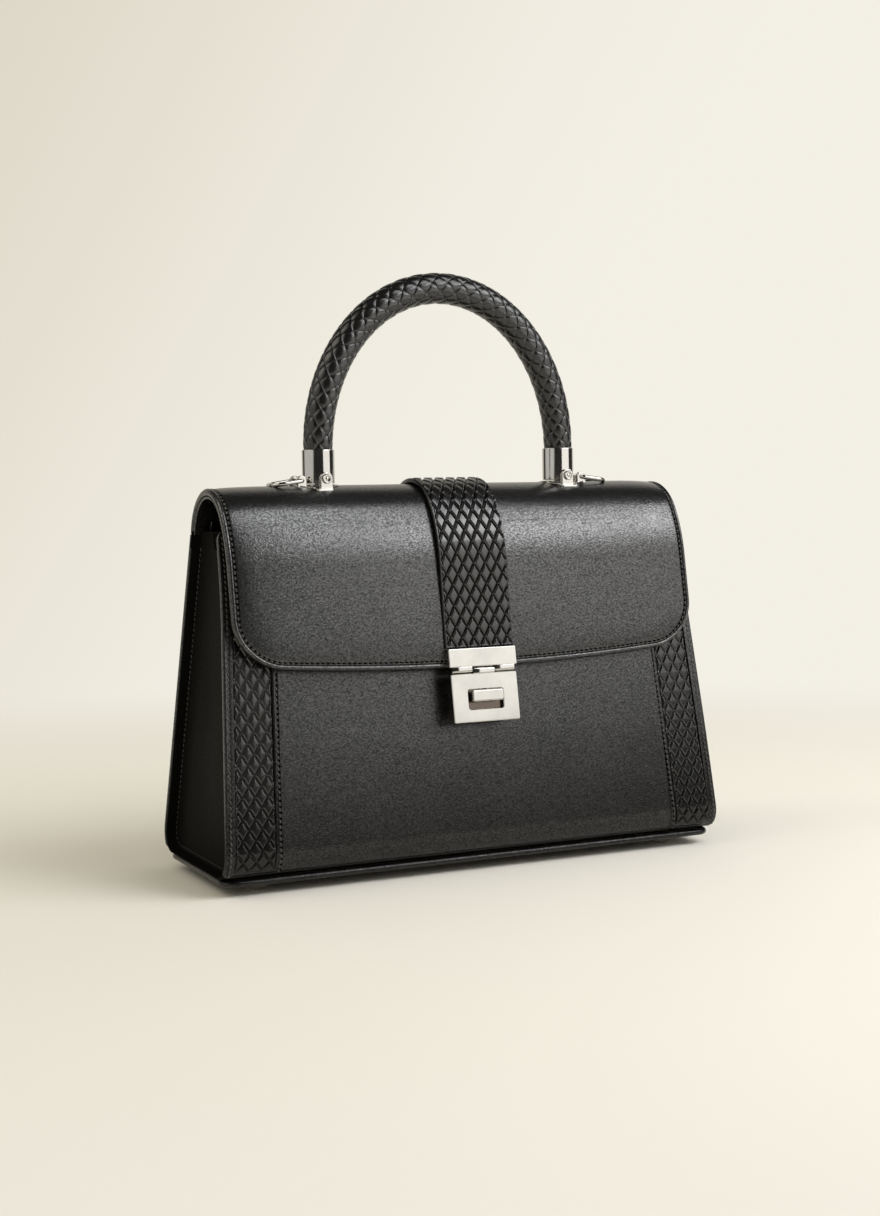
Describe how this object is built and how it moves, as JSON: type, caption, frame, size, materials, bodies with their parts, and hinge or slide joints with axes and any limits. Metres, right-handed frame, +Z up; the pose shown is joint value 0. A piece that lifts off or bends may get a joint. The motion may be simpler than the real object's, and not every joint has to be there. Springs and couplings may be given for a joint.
{
  "type": "structured top handle satchel",
  "caption": "Boxy satchel with a fold-over flap, a strap with a turn lock, a braided top handle and strap rings.",
  "frame": {"origin": "middle of the bag's base, on the surface that its feet stand on", "axes": "+X to the right as seen from the front, -Y out of the front with the lock, +Z up"},
  "size_m": [0.2712, 0.0998, 0.2966],
  "materials": {
    "back_board": "bonded leather board, raw",
    "back_panel": "fine grained black leather, semi matt",
    "backing_plate_left": "plain",
    "backing_plate_right": "plain",
    "base_board": "bonded leather board, raw",
    "base_panel": "fine grained black leather, semi matt",
    "base_welt": "fine grained black leather, semi matt",
    "ferrule_grub_left": "plain",
    "ferrule_grub_right": "plain",
    "flap_core": "bonded leather board, raw",
    "flap_lining": "fine grained black leather, semi matt",
    "flap_panel": "fine grained black leather, semi matt",
    "foot_left_back": "polished, warm silver",
    "foot_left_front": "polished, warm silver",
    "foot_right_back": "polished, warm silver",
    "foot_right_front": "polished, warm silver",
    "foot_washer_left_back": "plain",
    "foot_washer_left_front": "plain",
    "foot_washer_right_back": "plain",
    "foot_washer_right_front": "plain",
    "front_board": "bonded leather board, raw",
    "front_inlay_left": "black leather embossed with diamonds",
    "front_inlay_right": "black leather embossed with diamonds",
    "front_panel": "fine grained black leather, semi matt",
    "gusset_left": "fine grained black leather, semi matt",
    "gusset_right": "fine grained black leather, semi matt",
    "handle": "braided black leather strands",
    "handle_core": "twisted cord core",
    "handle_ferrule_left": "polished, warm silver",
    "handle_ferrule_right": "polished, warm silver",
    "handle_mount_left": "polished, warm silver",
    "handle_mount_right": "polished, warm silver",
    "hasp_bar": "polished, warm silver",
    "hasp_bar_backplate": "plain",
    "hasp_bar_screw_left": "plain",
    "hasp_bar_screw_right": "plain",
    "hasp_pin": "plain",
    "hasp_plate": "polished, warm silver",
    "inner_pocket": "suede-like lining cloth",
    "lining": "suede-like lining cloth",
    "lock_back_plate": "plain",
    "lock_base": "polished, warm silver",
    "lock_toggle": "polished, warm silver",
    "mount_bolt_left": "plain",
    "mount_bolt_right": "plain",
    "mount_screw_left": "polished, warm silver",
    "mount_screw_right": "polished, warm silver",
    "strap": "black leather embossed with diamonds",
    "strap_ring_left": "polished, warm silver",
    "strap_ring_right": "polished, warm silver",
    "toggle_retainer": "plain"
  },
  "bodies": {
    "case": {"front_panel": "front_panel", "front_inlay_left": "front_inlay_left", "front_inlay_right": "front_inlay_right", "back_panel": "back_panel", "gusset_left": "gusset_left", "gusset_right": "gusset_right", "front_board": "front_board", "back_board": "back_board", "lining": "lining", "inner_pocket": "inner_pocket", "base_panel": "base_panel", "base_board": "base_board", "base_welt": "base_welt", "lock_base": "lock_base", "lock_back_plate": "lock_back_plate", "foot_left_front": "foot_left_front", "foot_right_front": "foot_right_front", "foot_left_back": "foot_left_back", "foot_right_back": "foot_right_back", "foot_washer_left_front": "foot_washer_left_front", "foot_washer_right_front": "foot_washer_right_front", "foot_washer_left_back": "foot_washer_left_back", "foot_washer_right_back": "foot_washer_right_back"},
    "toggle": {"lock_toggle": "lock_toggle", "toggle_retainer": "toggle_retainer"},
    "flap": {"flap_panel": "flap_panel", "flap_core": "flap_core", "flap_lining": "flap_lining", "strap": "strap", "hasp_bar": "hasp_bar", "hasp_bar_backplate": "hasp_bar_backplate", "hasp_bar_screw_left": "hasp_bar_screw_left", "hasp_bar_screw_right": "hasp_bar_screw_right", "hasp_pin": "hasp_pin", "handle": "handle", "handle_core": "handle_core", "handle_ferrule_left": "handle_ferrule_left", "handle_ferrule_right": "handle_ferrule_right", "ferrule_grub_left": "ferrule_grub_left", "ferrule_grub_right": "ferrule_grub_right", "handle_mount_left": "handle_mount_left", "handle_mount_right": "handle_mount_right", "mount_screw_left": "mount_screw_left", "mount_screw_right": "mount_screw_right", "backing_plate_left": "backing_plate_left", "backing_plate_right": "backing_plate_right", "mount_bolt_left": "mount_bolt_left", "mount_bolt_right": "mount_bolt_right"},
    "hasp": {"hasp_plate": "hasp_plate"},
    "ring_left": {"strap_ring_left": "strap_ring_left"},
    "ring_right": {"strap_ring_right": "strap_ring_right"}
  },
  "joints": [
    {"name": "toggle_turn", "type": "hinge", "parent": "case", "child": "toggle", "pos_m": [0, -0.04865, 0.08751], "axis": [0, -0.9862, 0.1657], "range_deg": [0, 90]},
    {"name": "flap_hinge", "type": "hinge", "parent": "case", "child": "flap", "pos_m": [0, 0.02339, 0.16847], "axis": [-1, 0, 0], "range_deg": [0, 120]},
    {"name": "hasp_hinge", "type": "hinge", "parent": "flap", "child": "hasp", "pos_m": [0, -0.04496, 0.09987], "axis": [-1, 0, 0], "range_deg": [0, 70]},
    {"name": "ring_left_swing", "type": "hinge", "parent": "flap", "child": "ring_left", "pos_m": [-0.0782, -0.00205, 0.1934], "axis": [0, 1, 0], "range_deg": [0, 100]},
    {"name": "ring_right_swing", "type": "hinge", "parent": "flap", "child": "ring_right", "pos_m": [0.0782, -0.00205, 0.1934], "axis": [0, -1, 0], "range_deg": [0, 100]}
  ]
}
